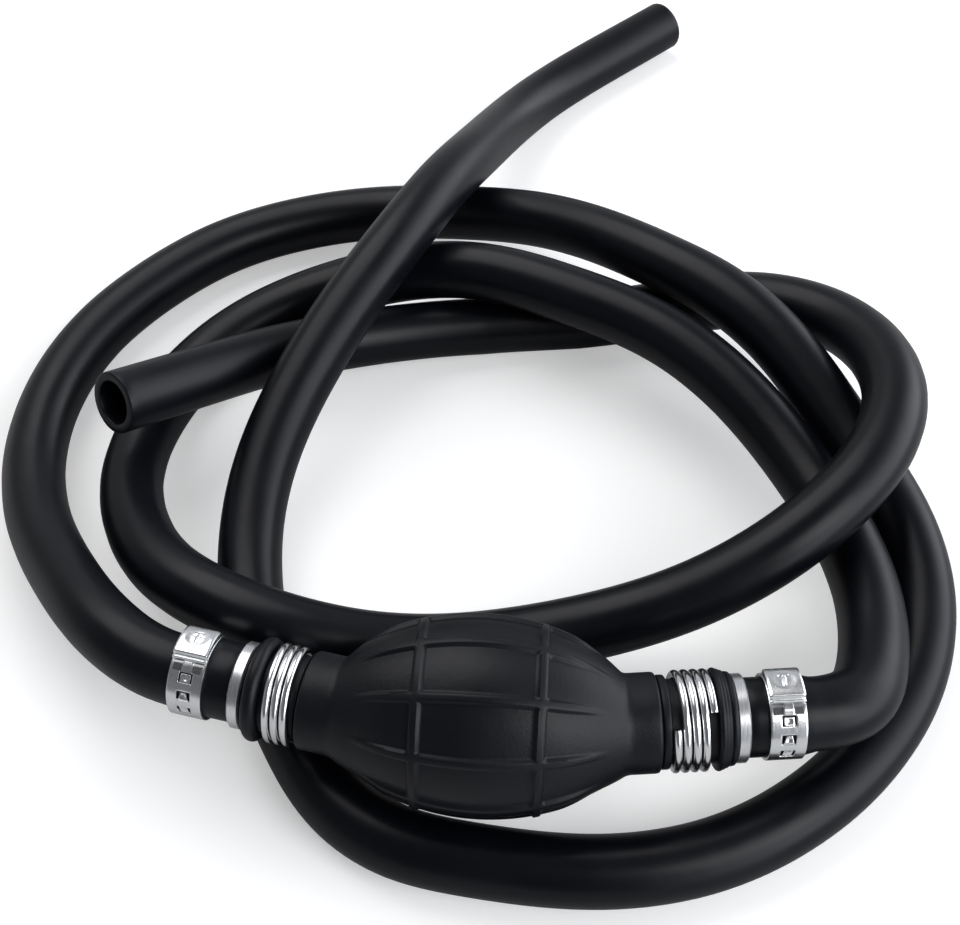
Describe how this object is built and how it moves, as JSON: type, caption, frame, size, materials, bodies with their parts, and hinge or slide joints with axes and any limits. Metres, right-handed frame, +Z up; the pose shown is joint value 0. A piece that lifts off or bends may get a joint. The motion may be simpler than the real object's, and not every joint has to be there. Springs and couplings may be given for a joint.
{
  "type": "siphon bulb pump",
  "caption": "Hand siphon pump: ribbed rubber squeeze bulb between two barbed check-valve fittings, with wire-wound necks, band clamps and a long free hose on each side.",
  "frame": {"origin": "centre of the bulb, on its axis", "axes": "+X along the flow from the inlet to the outlet, +Z up, the surface that the pump lies on at Z -34 mm"},
  "size_m": [0.2736, 0.3682, 0.0585],
  "materials": {
    "bulb_rubber": "matt black moulded rubber with a fine grain",
    "hose_rubber": "satin black rubber hose",
    "seal_rubber": "plain moulded rubber",
    "fitting_metal": "turned and lightly polished",
    "clamp_steel": "bright rolled stainless strip",
    "neck_wire": "bright drawn wire",
    "spring_wire": "fine drawn spring wire",
    "seat_brass": "turned",
    "valve_plastic": "natural moulded"
  },
  "bodies": {
    "pump": {"bulb": "bulb_rubber", "inlet_fitting": "fitting_metal", "inlet_valve_seat": "seat_brass", "inlet_valve_guide": "valve_plastic", "inlet_valve_spring": "spring_wire", "inlet_neck_wire": "neck_wire", "inlet_band_clamp": "clamp_steel", "inlet_hose": "hose_rubber", "outlet_fitting": "fitting_metal", "outlet_valve_seat": "seat_brass", "outlet_valve_guide": "valve_plastic", "outlet_valve_spring": "spring_wire", "outlet_neck_wire": "neck_wire", "outlet_band_clamp": "clamp_steel", "outlet_hose": "hose_rubber"},
    "squeezed_wall": {"bulb_crown": "bulb_rubber"},
    "inlet_poppet": {"inlet_valve_poppet": "valve_plastic", "inlet_valve_seal": "seal_rubber"},
    "outlet_poppet": {"outlet_valve_poppet": "valve_plastic", "outlet_valve_seal": "seal_rubber"}
  },
  "joints": [
    {"name": "bulb_squeeze", "type": "slide", "parent": "pump", "child": "squeezed_wall", "axis": [0, 0, -1], "range_m": [0, 0.008], "stiffness_N_per_m": 800},
    {"name": "inlet_valve_lift", "type": "slide", "parent": "pump", "child": "inlet_poppet", "axis": [0.9833, -0.1822, 0], "range_m": [0, 0.002], "stiffness_N_per_m": 80, "deforming": ["inlet_valve_spring"]},
    {"name": "outlet_valve_lift", "type": "slide", "parent": "pump", "child": "outlet_poppet", "axis": [0.9914, 0.1305, 0], "range_m": [0, 0.002], "stiffness_N_per_m": 80, "deforming": ["outlet_valve_spring"]}
  ]
}
